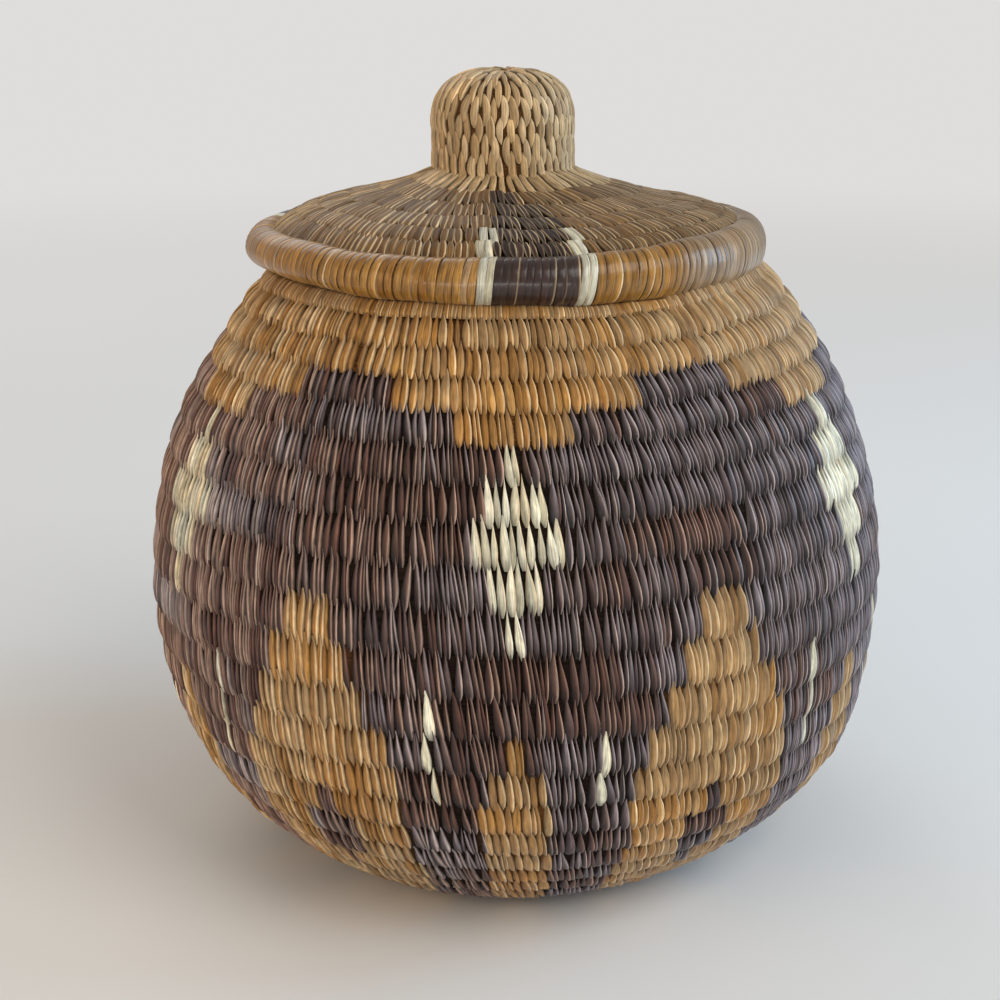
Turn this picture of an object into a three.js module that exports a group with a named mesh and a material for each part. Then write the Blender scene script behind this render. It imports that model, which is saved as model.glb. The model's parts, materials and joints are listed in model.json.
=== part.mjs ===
// Lidded basket of coiled grass, sewn with palm strips, with a domed lid and a round knob.
// Millimetres, +Z up. The origin is the middle of the flat base, and the front looks along -Y.
//
// The basket and the lid are each one long coil that winds out from a small wrapped knot.
// Every turn of the coil is a piece of its own here, laid against its neighbours where they are sewn.

import * as THREE from 'three';

// Wall of the basket
const BELLY_RADIUS = 110;          // outside, at the widest row
const BELLY_HEIGHT = 84.6;
const WALL = 8.4;                  // thickness of the coil, through the wall
const FOOT_RADIUS = 44.7;          // the base is flat out to here
const FOOT_SPREAD = 40.6;          // how far the base keeps running out before it turns up
const BELLY_TUCK = 40.7;           // how far below the belly the wall is still upright
const BELLY_RISE = 36;             // how far above the belly the wall is still upright
const SHOULDER_RUN = 27.7;         // how far the shoulder runs straight to the mouth
const SHOULDER_SLOPE = 43.2;       // degrees
const MOUTH_RADIUS = 68.6;         // to the middle of the rim coil
const RIM_HEIGHT = 173.2;

// Coil of the basket
const BASKET_KNOT = 5;             // radius of the wrapped knot that the coil starts from
const BASE_ROWS = 7;
const WALL_ROWS = 19;
const BASKET_SWELL = 0.16;         // the coil is this much fatter at the belly, and thinner above it
const SWELL_AT = 166;              // along the coil's middle line, from the centre of the base
const SWELL_LENGTH = 152;

// Lid, with heights above the middle of its rim roll
const LID_WALL = 5.5;
const LID_ROLL = 12.6;             // thickness of the fat coil round the lid's edge
const LID_OVERHANG = 1.3;          // how far the middle of the roll lies outside the middle of the rim
const LID_EDGE_SLOPE = 40;         // degrees
const LID_EDGE_RUN = 11.8;
const LID_TOP_SLOPE = 19.9;        // degrees, where the lid leaves the knob
const LID_TOP_RUN = 15.9;
const LID_TOP_RADIUS = 24.1;
const LID_TOP_HEIGHT = 17;

// Knob, with heights above the middle of the rim roll
const KNOB_RADIUS = 20.9;          // outside
const KNOB_HEIGHT = 49.8;
const KNOB_SHOULDER = 33.6;
const KNOB_WAIST = 28.3;
const KNOB_CROWN_RUN = 14.6;
const KNOB_CROWN_DROP = 8.6;
const KNOB_FLARE_DROP = 9.2;
const KNOB_FLARE_RUN = 9.2;

// Coil of the lid
const LID_KNOT = 3;
const KNOB_ROWS = 8;
const LID_ROWS = 5;
const KNOB_PITCH = 5.2;
const LID_PITCH = 10.5;
const LID_EDGE_PITCH = 6;
const KNOB_LENGTH = 38;            // along the coil's middle line, from the centre of the knob
const PITCH_BLEND = 10;            // before and after that length, as the rows widen
const NARROWING_AT = 64;           // along the same line, where the rows begin to narrow towards the roll

// Collar under the lid that drops into the mouth
const COLLAR_COILS = 2;
const COLLAR_COIL_HEIGHT = 7.5;
const COLLAR_WALL = 6;
const COLLAR_TOP = 1.5;            // above the middle of the rim roll

// Fits and facets
const SEAM_GAP = 0.3;              // between pieces that are sewn to each other
const STEPS = 30;                  // facets in one turn
const EDGE_SHARE = 0.62;           // thickness of a coil where it meets the next row, of its full thickness
const FLAT_SHARE = 0.55;           // of a base row's width that the basket stands on
const KNOT_SHARE = 0.6;            // of a knot's radius that is flat
const TAPER_END = 0.12;            // of a turn: where a thinned coil end stops
const BASKET_SEAM = 90;            // degrees round from +X: where each turn of the basket begins
const LID_SEAM = 180;
const ROLL_SIDES = 10;
const CURVE_SAMPLES = 400;
const NORMAL_REACH = 0.2;          // to each side of a spot on a middle line, to find which way the line runs

const TAU = Math.PI * 2;
const point = (r, z) => new THREE.Vector2(r, z);
const slopeDown = (degrees) => point(Math.cos(degrees / 360 * TAU), -Math.sin(degrees / 360 * TAU));

// A line that the middle of a coil follows from the axis outward. Its normal is on its left, which is
// the inside of the basket and the outside of the lid: a coil's inside is 1 or -1 for that.
function middleLine(curves) {
  const path = new THREE.CurvePath();
  curves.forEach((curve) => path.add(curve));
  const length = path.getLength();
  const at = (s) => path.getPoint(THREE.MathUtils.clamp(s / length, 0, 1));
  const normal = (s) => {
    const along = at(Math.min(s + NORMAL_REACH, length)).sub(at(Math.max(s - NORMAL_REACH, 0))).normalize();
    return point(-along.y, along.x);
  };
  return { length, at, normal };
}

// Where each row of a coil begins along its middle line, as the local pitch varies
function rowEdges(start, end, rows, pitchAt) {
  const step = (end - start) / CURVE_SAMPLES;
  const turns = [0];
  for (let i = 0; i < CURVE_SAMPLES; i++) {
    turns.push(turns[i] + step / pitchAt(start + (i + 0.5) * step));
  }
  const scale = rows / turns[CURVE_SAMPLES];
  return (row) => {
    const wanted = THREE.MathUtils.clamp(row, 0, rows) / scale;
    let i = 1;
    while (i < CURVE_SAMPLES && turns[i] < wanted) i++;
    const share = (wanted - turns[i - 1]) / (turns[i] - turns[i - 1]);
    return start + (i - 1 + share) * step;
  };
}

// Closed solid from rings of points that follow each other anticlockwise round Z, with flat ends. Each
// ring has the same number of points and runs anticlockwise in (radius, height).
function solidFromRings(rings) {
  const sides = rings[0].length;
  const position = rings.flat().flatMap((p) => [p.x, p.y, p.z]);
  const index = [];
  for (let i = 0; i + 1 < rings.length; i++) {
    for (let j = 0; j < sides; j++) {
      const a = i * sides + j;
      const b = i * sides + (j + 1) % sides;
      index.push(a, b + sides, b, a, a + sides, b + sides);
    }
  }
  const last = (rings.length - 1) * sides;
  for (let j = 1; j + 1 < sides; j++) {
    index.push(0, j, j + 1);
    index.push(last, last + j + 1, last + j);
  }
  const geometry = new THREE.BufferGeometry();
  geometry.setAttribute('position', new THREE.Float32BufferAttribute(position, 3));
  geometry.setIndex(index);
  geometry.computeVertexNormals();
  return geometry;
}

// Section of a coil: x along the wall from row to row, y through the wall from its outside, at -1, to
// its inside. The outside is a round crest, or a flat where the basket stands on it.
const ROUND_CREST = [point(0, -1)];
const FLAT_CREST = [point(-FLAT_SHARE, -1), point(FLAT_SHARE, -1)];
function coilSection(crest) {
  return [point(-1, -EDGE_SHARE), ...crest, point(1, -EDGE_SHARE), point(1, EDGE_SHARE),
    point(0, 1), point(-1, EDGE_SHARE)];
}

// One turn of a coil, or less. The turn runs anticlockwise, seen from above.
function coilTurn(coil, from, to, crest) {
  const lower = (turn) => coil.edge(turn) + SEAM_GAP / 2;
  const upper = (turn) => coil.edge(turn + 1) - SEAM_GAP / 2;
  const fullRow = (turn) => {
    const nearest = THREE.MathUtils.clamp(turn, 0, coil.rows - 1);
    return upper(nearest) - lower(nearest);
  };
  const trim = (turn) => SEAM_GAP / 2 / TAU / coil.line.at(lower(turn)).x;
  const turns = [from + trim(from)];
  for (let i = Math.floor(from * STEPS) + 1; i < to * STEPS; i++) turns.push(i / STEPS);
  turns.push(to - trim(to));
  const section = coilSection(crest);
  if (coil.inside < 0) section.reverse();
  const rings = turns.map((turn) => {
    const middle = (lower(turn) + upper(turn)) / 2;
    const half = (upper(turn) - lower(turn)) / 2;
    const fullness = 2 * half / fullRow(turn);
    const angle = (coil.seam / 360 + turn) * TAU;
    return section.map((corner) => {
      const through = Math.abs(corner.y) === 1
        ? Math.sign(corner.y) * THREE.MathUtils.lerp(EDGE_SHARE, 1, fullness)
        : corner.y;
      const s = middle + corner.x * half;
      const inward = coil.inside * through * coil.wall / 2;
      const spot = coil.line.at(s).addScaledVector(coil.line.normal(s), inward);
      return new THREE.Vector3(spot.x * Math.cos(angle), spot.x * Math.sin(angle), spot.y);
    });
  });
  return solidFromRings(rings);
}

// Solid of revolution about Z from a closed outline of (radius, height) points
function turned(outline) {
  const geometry = new THREE.LatheGeometry([...outline, outline[0]], STEPS);
  geometry.rotateX(Math.PI / 2);
  return geometry;
}

// The small wrapped disc that a coil starts from
function startKnot(coil) {
  const rim = coil.start - SEAM_GAP / 2;
  const z = coil.line.at(0).y;
  const half = coil.wall / 2;
  const flat = rim * KNOT_SHARE;
  const outline = [point(0, z - half), point(flat, z - half), point(rim, z - half * EDGE_SHARE),
    point(rim, z + half * EDGE_SHARE), point(flat, z + half), point(0, z + half)];
  return turned(outline);
}

// Materials
const PALM_TAN = 0xb08a58;
const PALM_PALE = 0xbda27c;
const PALM_GOLD = 0xb4894a;
const PALM_MIXED = 0x7f6142;
const PALM_DARK = 0x46332d;
const palm = (color, roughness) => new THREE.MeshStandardMaterial({ color, roughness, metalness: 0 });

const basket = new THREE.Group();
function addPiece(name, geometry, color, roughness = 0.7) {
  const mesh = new THREE.Mesh(geometry, palm(color, roughness));
  mesh.name = name;
  basket.add(mesh);
}
const numbered = (name, number) => `${name}_${String(number).padStart(2, '0')}`;

// Middle line of the basket's coil: flat base, bowl, shoulder
const bellyMiddle = BELLY_RADIUS - WALL / 2;
const baseMiddle = WALL / 2;
const mouth = point(MOUTH_RADIUS, RIM_HEIGHT);
const shoulderDown = slopeDown(SHOULDER_SLOPE);
const basketLine = middleLine([
  new THREE.LineCurve(point(0, baseMiddle), point(FOOT_RADIUS, baseMiddle)),
  new THREE.CubicBezierCurve(point(FOOT_RADIUS, baseMiddle), point(FOOT_RADIUS + FOOT_SPREAD, baseMiddle),
    point(bellyMiddle, BELLY_HEIGHT - BELLY_TUCK), point(bellyMiddle, BELLY_HEIGHT)),
  new THREE.CubicBezierCurve(point(bellyMiddle, BELLY_HEIGHT), point(bellyMiddle, BELLY_HEIGHT + BELLY_RISE),
    mouth.clone().addScaledVector(shoulderDown, SHOULDER_RUN), mouth),
]);
const basketRows = BASE_ROWS + WALL_ROWS;
const basketPitch = (s) => 1 + BASKET_SWELL * Math.cos((s - SWELL_AT) / SWELL_LENGTH * TAU);
const basketCoil = {
  line: basketLine,
  inside: 1,
  wall: WALL,
  rows: basketRows,
  start: BASKET_KNOT,
  seam: BASKET_SEAM,
  edge: rowEdges(BASKET_KNOT, basketLine.length, basketRows, basketPitch),
};

// Which palm shows most on a row of the wall, counted from the base
function wallColor(row) {
  const DARK_FROM = 10;
  const TAN_FROM = 15;
  if (row >= TAN_FROM) return PALM_TAN;
  return row >= DARK_FROM ? PALM_DARK : PALM_MIXED;
}

// Basket: knot, thin start of the coil, flat base, wall, and the rim where the coil thins out
addPiece('base_start_knot', startKnot(basketCoil), PALM_DARK);
addPiece(numbered('base_coil', 0), coilTurn(basketCoil, TAPER_END - 1, 0, FLAT_CREST), PALM_MIXED);
for (let row = 0; row < BASE_ROWS; row++) {
  const geometry = coilTurn(basketCoil, row, row + 1, FLAT_CREST);
  addPiece(numbered('base_coil', row + 1), geometry, PALM_MIXED);
}
for (let row = 1; row < WALL_ROWS; row++) {
  const turn = BASE_ROWS + row - 1;
  addPiece(numbered('wall_coil', row), coilTurn(basketCoil, turn, turn + 1, ROUND_CREST), wallColor(row));
}
addPiece('rim_coil', coilTurn(basketCoil, basketRows - 1, basketRows - TAPER_END, ROUND_CREST), PALM_TAN);

// The lid's rim roll lies on the outer edge of the rim coil
const rollRadius = LID_ROLL / 2;
const rollMiddle = MOUTH_RADIUS + LID_OVERHANG;
const rimCorner = mouth.clone().addScaledVector(basketLine.normal(basketLine.length), -EDGE_SHARE * WALL / 2);
const rollReach = rollRadius + SEAM_GAP;
const rollHeight = rimCorner.y + Math.sqrt(rollReach ** 2 - (rollMiddle - rimCorner.x) ** 2);
const onLid = (r, z) => point(r, z + rollHeight);

// Middle line of the lid's coil: crown of the knob, its side, the flare, and the dome down to the roll
const lidEdgeDown = slopeDown(LID_EDGE_SLOPE);
const lidTopDown = slopeDown(LID_TOP_SLOPE);
const lidEdge = onLid(rollMiddle, 0).addScaledVector(lidEdgeDown, -rollReach);
const lidTop = onLid(LID_TOP_RADIUS, LID_TOP_HEIGHT);
const knobMiddle = KNOB_RADIUS - LID_WALL / 2;
const crown = KNOB_HEIGHT - LID_WALL / 2;
const lidLine = middleLine([
  new THREE.CubicBezierCurve(onLid(0, crown), onLid(KNOB_CROWN_RUN, crown),
    onLid(knobMiddle, KNOB_SHOULDER + KNOB_CROWN_DROP), onLid(knobMiddle, KNOB_SHOULDER)),
  new THREE.LineCurve(onLid(knobMiddle, KNOB_SHOULDER), onLid(knobMiddle, KNOB_WAIST)),
  new THREE.CubicBezierCurve(onLid(knobMiddle, KNOB_WAIST), onLid(knobMiddle, KNOB_WAIST - KNOB_FLARE_DROP),
    lidTop.clone().addScaledVector(lidTopDown, -KNOB_FLARE_RUN), lidTop),
  new THREE.CubicBezierCurve(lidTop, lidTop.clone().addScaledVector(lidTopDown, LID_TOP_RUN),
    lidEdge.clone().addScaledVector(lidEdgeDown, -LID_EDGE_RUN), lidEdge),
]);
const lidRows = KNOB_ROWS + LID_ROWS;
function lidPitch(s) {
  const widening = THREE.MathUtils.smoothstep(s, KNOB_LENGTH - PITCH_BLEND, KNOB_LENGTH + PITCH_BLEND);
  const narrowing = THREE.MathUtils.smoothstep(s, NARROWING_AT, lidLine.length);
  const onDome = THREE.MathUtils.lerp(LID_PITCH, LID_EDGE_PITCH, narrowing);
  return THREE.MathUtils.lerp(KNOB_PITCH, onDome, widening);
}
const lidCoil = {
  line: lidLine,
  inside: -1,
  wall: LID_WALL,
  rows: lidRows,
  start: LID_KNOT,
  seam: LID_SEAM,
  edge: rowEdges(LID_KNOT, lidLine.length, lidRows, lidPitch),
};

// Lid: knot, knob, dome, rim roll and the collar that keeps it in the mouth
addPiece('knob_start_knot', startKnot(lidCoil), PALM_PALE);
addPiece(numbered('knob_coil', 0), coilTurn(lidCoil, TAPER_END - 1, 0, ROUND_CREST), PALM_PALE);
for (let row = 0; row < KNOB_ROWS; row++) {
  addPiece(numbered('knob_coil', row + 1), coilTurn(lidCoil, row, row + 1, ROUND_CREST), PALM_PALE);
}
for (let row = 1; row < LID_ROWS; row++) {
  const turn = KNOB_ROWS + row - 1;
  addPiece(numbered('lid_coil', row), coilTurn(lidCoil, turn, turn + 1, ROUND_CREST), PALM_PALE);
}
const lidEndTurn = coilTurn(lidCoil, lidRows - 1, lidRows - TAPER_END, ROUND_CREST);
addPiece(numbered('lid_coil', LID_ROWS), lidEndTurn, PALM_PALE);

const rollOutline = [];
for (let i = 0; i < ROLL_SIDES; i++) {
  const angle = i / ROLL_SIDES * TAU;
  rollOutline.push(onLid(rollMiddle + rollRadius * Math.cos(angle), rollRadius * Math.sin(angle)));
}
addPiece('lid_rim_roll', turned(rollOutline), PALM_GOLD, 0.45);

const collarBelly = COLLAR_TOP - COLLAR_COIL_HEIGHT / 2;
const collarOutside = rollMiddle - Math.sqrt(rollReach ** 2 - collarBelly ** 2);
for (let i = 0; i < COLLAR_COILS; i++) {
  const top = COLLAR_TOP - i * (COLLAR_COIL_HEIGHT + SEAM_GAP);
  const bottom = top - COLLAR_COIL_HEIGHT;
  const middle = (top + bottom) / 2;
  const inside = collarOutside - COLLAR_WALL;
  const edgeIn = COLLAR_WALL * (1 - EDGE_SHARE) / 2;
  const outline = [onLid(inside + edgeIn, bottom), onLid(collarOutside - edgeIn, bottom),
    onLid(collarOutside, middle), onLid(collarOutside - edgeIn, top), onLid(inside + edgeIn, top),
    onLid(inside, middle)];
  addPiece(`lid_collar_coil_${i + 1}`, turned(outline), PALM_TAN);
}

export default basket;
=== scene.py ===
"""Lidded basket of coiled grass, sewn with palm strips: the looks of every turn, in the packed part's frame.

Lengths are millimetres until a mesh is made, which is in metres. Angles are radians, and degrees in the
patterns. Each turn of a coil is a grass core with strips of palm sewn over it, stitch by stitch, along the
same middle lines as the solids.
"""

import json
import math
from types import SimpleNamespace

import bpy
import numpy as np
from mathutils import Euler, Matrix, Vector


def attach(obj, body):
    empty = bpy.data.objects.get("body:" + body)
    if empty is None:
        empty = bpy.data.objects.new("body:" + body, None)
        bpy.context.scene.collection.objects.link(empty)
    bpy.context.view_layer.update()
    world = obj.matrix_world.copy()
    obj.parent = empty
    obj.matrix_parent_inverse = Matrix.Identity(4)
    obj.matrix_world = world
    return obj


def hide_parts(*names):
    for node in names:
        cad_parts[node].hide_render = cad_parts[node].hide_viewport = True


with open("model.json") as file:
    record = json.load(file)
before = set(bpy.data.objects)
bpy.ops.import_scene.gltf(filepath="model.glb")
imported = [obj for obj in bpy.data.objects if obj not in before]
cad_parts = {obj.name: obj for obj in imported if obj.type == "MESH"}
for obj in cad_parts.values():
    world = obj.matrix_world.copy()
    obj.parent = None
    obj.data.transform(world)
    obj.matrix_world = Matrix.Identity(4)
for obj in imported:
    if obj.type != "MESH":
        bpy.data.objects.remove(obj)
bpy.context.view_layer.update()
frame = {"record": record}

METRE = 0.001  # a millimetre in metres
TAU = 2 * math.pi

# Wall of the basket
BELLY_RADIUS = 110
BELLY_HEIGHT = 84.6
WALL = 8.4
FOOT_RADIUS = 44.7
FOOT_SPREAD = 40.6
BELLY_TUCK = 40.7
BELLY_RISE = 36
SHOULDER_RUN = 27.7
SHOULDER_SLOPE = 43.2
MOUTH_RADIUS = 68.6
RIM_HEIGHT = 173.2

# Coil of the basket
BASKET_KNOT = 5
BASE_ROWS = 7
WALL_ROWS = 19
BASKET_SWELL = 0.16
SWELL_AT = 166
SWELL_LENGTH = 152

# Lid and knob, with heights above the middle of the rim roll
LID_WALL = 5.5
LID_ROLL = 12.6
LID_OVERHANG = 1.3
LID_EDGE_SLOPE = 40
LID_EDGE_RUN = 11.8
LID_TOP_SLOPE = 19.9
LID_TOP_RUN = 15.9
LID_TOP_RADIUS = 24.1
LID_TOP_HEIGHT = 17
KNOB_RADIUS = 20.9
KNOB_HEIGHT = 49.8
KNOB_SHOULDER = 33.6
KNOB_WAIST = 28.3
KNOB_CROWN_RUN = 14.6
KNOB_CROWN_DROP = 8.6
KNOB_FLARE_DROP = 9.2
KNOB_FLARE_RUN = 9.2

# Coil of the lid
LID_KNOT = 3
KNOB_ROWS = 8
LID_ROWS = 5
KNOB_PITCH = 5.2
LID_PITCH = 10.5
LID_EDGE_PITCH = 6
KNOB_LENGTH = 38
PITCH_BLEND = 10
NARROWING_AT = 64

# Collar under the lid
COLLAR_COILS = 2
COLLAR_COIL_HEIGHT = 7.5
COLLAR_WALL = 6
COLLAR_TOP = 1.5

# Fits
SEAM_GAP = 0.3
EDGE_SHARE = 0.62
TAPER_END = 0.12
BASKET_SEAM = 90
LID_SEAM = 180
CURVE_SAMPLES = 400
NORMAL_REACH = 0.2
LID_NORMAL_REACH = 2.5
RUN_OUT = 8

# Sewing
CREST_POWER = 2.2    # how full a row is between its two edges
CREST_AT = -0.22     # a row is thickest below its middle, and tucked under the row above at its top
GROOVE_SHARE = 0.88  # thickness of the wall in a groove, as a share of the full one
LID_GROOVE_SHARE = 0.95
CORE_DEPTH = 1.0     # the grass lies this far under the crowns of the strips
CORE_STEPS = 180     # facets of the grass round one turn
CORE_SECTION = 9     # points across it, on the outside and again on the inside
CORE_REACH = 0.999   # it stops just short of the next row's
SKIRT = 0.85         # how deep the sides of a strip go into the grass
PRESSED = 0.05       # strips under the base are pressed flat this far above the floor
SHOULDER_ROW = 14    # from here up the strips of the wall are finer
COUNT_SLACK = 0.04   # a row has as many strips as the last one while its own number is this near
BASKET_SEED = 11
LID_SEED = 12

# Where the real lid lies
LID_SHIFT = -2.7     # the lid lies this far off the middle of the mouth
KNOB_SHIFT = -0.9    # and its knob stands this much further off,
KNOB_FOOT = (188, 200)  # from the one height to the other

# Uneven forms of the knob, at lengths along the coil from its start
FLARE_FILL = 0.3     # the hollow of the flare under the knob is filled out by this much
FLARE_AT = 39.5
WAIST_TUCK = 0.4     # and the knob is drawn in by this much above it
WAIST_AT = 31
CROWN_DIP = 0.7      # and by this much in the middle of its top
KNOB_FORM_LENGTH = 6

# Uneven forms of the dome and the roll
DOME_SWELL = 1.8     # the right side of the dome stands up by this much
DOME_SWELL_RADIUS = 69
DOME_SWELL_LENGTH = 7
DOME_TOP_SIDE = (178, 184)  # only its upper side, which begins between these heights
DOME_DIP = 1         # and it lies this much lower near the knob
DOME_DIP_RADIUS = 46
DOME_DIP_LENGTH = 8
ROLL_SAG = 1.5       # the underside of the roll hangs this much lower on the right, higher on the left
ROLL_SAG_REACH = (-6, 2)  # and the sag ends between these heights from the roll's middle
ROLL_SLIM = 0.2      # the roll is this much slimmer than its solid

# Uneven forms of the wall
BELLY_SWELL = 1.7    # the lower belly swells out by this much
BELLY_SWELL_RIGHT = 1.2  # and by so much more on the right, and less on the left
BELLY_SWELL_AT = 38
BELLY_SWELL_LENGTH = 17
SHOULDER_TUCK = 1.7  # the left side of the shoulder is drawn in by this much
SHOULDER_TUCK_AT = 158
SHOULDER_TUCK_LENGTH = 16
BASE_SAG = 3.6       # the edge of the base hangs this much lower at the front left
BASE_SAG_ANGLE = -1.75
BASE_SAG_FOCUS = 3.5  # how closely the sag keeps to that side
BASE_SAG_RADIUS = 60
BASE_SAG_LENGTH = 14
BASE_SAG_FLOOR = (0, 8)   # it fades out towards the floor
BASE_SAG_TOP = (14, 40)   # and towards the belly


def smoothstep(x, low, high):
    t = np.clip((x - low) / (high - low), 0, 1)
    return t * t * (3 - 2 * t)


def mix(a, b, share):
    return a + (b - a) * share


def slope_down(degrees):
    return np.array([math.cos(math.radians(degrees)), -math.sin(math.radians(degrees))])


def curve(*corners):
    """Points along a line or a cubic Bezier curve, from its two or four corners."""
    t = np.linspace(0, 1, CURVE_SAMPLES + 1)[:, None]
    degree = len(corners) - 1
    shares = [math.comb(degree, i) * t**i * (1 - t) ** (degree - i) for i in range(degree + 1)]
    return sum(share * np.array(corner, float) for share, corner in zip(shares, corners))


class Coil:
    """One long coil: the line that its middle follows from the axis outward, and where its rows begin."""

    def __init__(self, curves, wall, rows, start, seam, inside, pitch, groove, shift):
        points = np.vstack([curves[0]] + [c[1:] for c in curves[1:]])
        self.r, self.z = points.T
        self.s = np.concatenate([[0], np.cumsum(np.hypot(np.diff(self.r), np.diff(self.z)))])
        self.length = self.s[-1]
        beyond = points[-1] + (points[-1] - points[-2]) * RUN_OUT / (self.s[-1] - self.s[-2])
        self.r, self.z = np.append(self.r, beyond[0]), np.append(self.z, beyond[1])
        self.s = np.append(self.s, self.length + RUN_OUT)
        self.wall, self.rows, self.start, self.seam, self.inside = wall, rows, start, seam / 360, inside
        self.groove, self.shift = groove, shift
        self.reach = NORMAL_REACH if inside > 0 else LID_NORMAL_REACH
        steps = np.linspace(start, self.length, CURVE_SAMPLES + 1)
        middles = (steps[1:] + steps[:-1]) / 2
        turns = np.concatenate([[0], np.cumsum(np.diff(steps) / pitch(middles, self.length))])
        self.edge_s, self.edge_turn = steps, turns * rows / turns[-1]

    def at(self, s):
        return np.interp(s, self.s, self.r), np.interp(s, self.s, self.z)

    def outward(self, s):
        """Direction away from the hollow."""
        r0, z0 = self.at(s - self.reach)
        r1, z1 = self.at(s + self.reach)
        size = np.hypot(r1 - r0, z1 - z0)
        return self.inside * (z1 - z0) / size, -self.inside * (r1 - r0) / size

    def edge(self, turn):
        return np.interp(turn, self.edge_turn, self.edge_s)

    def row(self, turn):
        """Middle and half width of the row at a turn, and how much of a full row that is."""
        lower = self.edge(turn) + SEAM_GAP / 2
        upper = self.edge(turn + 1) - SEAM_GAP / 2
        nearest = np.clip(turn, 0, self.rows - 1)
        full = self.edge(nearest + 1) - self.edge(nearest) - SEAM_GAP
        return (lower + upper) / 2, (upper - lower) / 2, (upper - lower) / full


def bump(x, middle, length):
    return np.exp(-(((x - middle) / length) ** 2))


def handmade(r, z, angle, shift):
    """Turns radius, height and angle into points, with the unevenness of work done by hand.

    The waves are given by their height, their number round the axis and their phase. A coil that is shifted
    is the lid's.
    """
    of_lid = shift < 0
    above_base = smoothstep(z, 8, 60)
    r = r + above_base * (0.35 * np.sin(2 * angle + 0.8) + 0.22 * np.sin(5 * angle + z / 31))
    r = r + above_base * 0.14 * np.sin(9 * angle - z / 17)
    swell = BELLY_SWELL + BELLY_SWELL_RIGHT * np.cos(angle)
    r = r + swell * bump(z, BELLY_SWELL_AT, BELLY_SWELL_LENGTH)
    on_left = (not of_lid) * np.maximum(-np.cos(angle), 0)
    r = r - on_left * SHOULDER_TUCK * bump(z, SHOULDER_TUCK_AT, SHOULDER_TUCK_LENGTH)
    z = z + above_base * (0.4 * np.sin(3 * angle + 1.9 + 1.24 * of_lid) + 0.22 * np.sin(7 * angle + 0.4))
    z = z + above_base * 0.16 * np.sin(16 * angle + z / 9)
    sag_ends = [roll_height + reach for reach in ROLL_SAG_REACH]
    z = z - of_lid * ROLL_SAG * np.cos(angle) * (1 - smoothstep(z, *sag_ends))
    at_front_left = np.exp(BASE_SAG_FOCUS * (np.cos(angle - BASE_SAG_ANGLE) - 1))
    base_edge = bump(r, BASE_SAG_RADIUS, BASE_SAG_LENGTH) * smoothstep(z, *BASE_SAG_FLOOR)
    z = z - BASE_SAG * at_front_left * base_edge * (1 - smoothstep(z, *BASE_SAG_TOP))
    z = np.maximum(z, PRESSED)
    on_right = of_lid * np.maximum(np.cos(angle), 0)
    rise = DOME_SWELL * bump(r, DOME_SWELL_RADIUS, DOME_SWELL_LENGTH) * smoothstep(z, *DOME_TOP_SIDE)
    z = z + on_right * (rise - DOME_DIP * bump(r, DOME_DIP_RADIUS, DOME_DIP_LENGTH))
    aside = shift + of_lid * KNOB_SHIFT * smoothstep(z, *KNOB_FOOT)
    return np.stack([r * np.cos(angle) + aside, r * np.sin(angle), z], axis=-1)


def profile(v, fullness, groove, crest_at):
    """Half thickness of a row at v, from -1 at its first edge to 1 at its second, and of its neighbours."""
    across = (v + 1) % 2 - 1
    before_crest = (crest_at - across) / (crest_at + 1)
    after_crest = (across - crest_at) / (1 - crest_at)
    from_crest = np.where(across < crest_at, before_crest, after_crest)
    thickest = mix(groove, 1, fullness)
    return thickest - (thickest - groove) * from_crest**CREST_POWER


def place(coil, turn, v, depth, side):
    """Points on a coil: at a turn, at v across the row, and so deep under the crest line of one side."""
    middle, half, fullness = coil.row(turn)
    s = middle + v * half
    r, z = coil.at(s)
    out_r, out_z = coil.outward(s)
    height = side * (coil.wall / 2 * profile(v, fullness, coil.groove, CREST_AT * coil.inside) - depth)
    if coil.inside < 0:
        fill = FLARE_FILL * bump(s, FLARE_AT, KNOB_FORM_LENGTH)
        tuck = WAIST_TUCK * bump(s, WAIST_AT, KNOB_FORM_LENGTH) + CROWN_DIP * bump(s, 0, KNOB_FORM_LENGTH)
        height = height + (side > 0) * (fill - tuck)
    return handmade(r + out_r * height, z + out_z * height, (coil.seam + turn) * TAU, coil.shift)


# Middle lines of the two coils
belly_middle = BELLY_RADIUS - WALL / 2
base_middle = WALL / 2
mouth = np.array([MOUTH_RADIUS, RIM_HEIGHT])
basket_coil = Coil(
    [
        curve((0, base_middle), (FOOT_RADIUS, base_middle)),
        curve((FOOT_RADIUS, base_middle), (FOOT_RADIUS + FOOT_SPREAD, base_middle),
              (belly_middle, BELLY_HEIGHT - BELLY_TUCK), (belly_middle, BELLY_HEIGHT)),
        curve((belly_middle, BELLY_HEIGHT), (belly_middle, BELLY_HEIGHT + BELLY_RISE),
              mouth + SHOULDER_RUN * slope_down(SHOULDER_SLOPE), mouth),
    ],
    WALL, BASE_ROWS + WALL_ROWS, BASKET_KNOT, BASKET_SEAM, 1,
    lambda s, length: 1 + BASKET_SWELL * np.cos((s - SWELL_AT) / SWELL_LENGTH * TAU), GROOVE_SHARE, 0,
)

roll_radius = LID_ROLL / 2
roll_middle = MOUTH_RADIUS + LID_OVERHANG
roll_reach = roll_radius + SEAM_GAP
rim_out_r, rim_out_z = basket_coil.outward(basket_coil.length - NORMAL_REACH)
corner_r = MOUTH_RADIUS + rim_out_r * EDGE_SHARE * WALL / 2
corner_z = RIM_HEIGHT + rim_out_z * EDGE_SHARE * WALL / 2
roll_height = corner_z + math.sqrt(roll_reach**2 - (roll_middle - corner_r) ** 2)


def on_lid(r, z):
    return np.array([r, z + roll_height])


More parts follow.
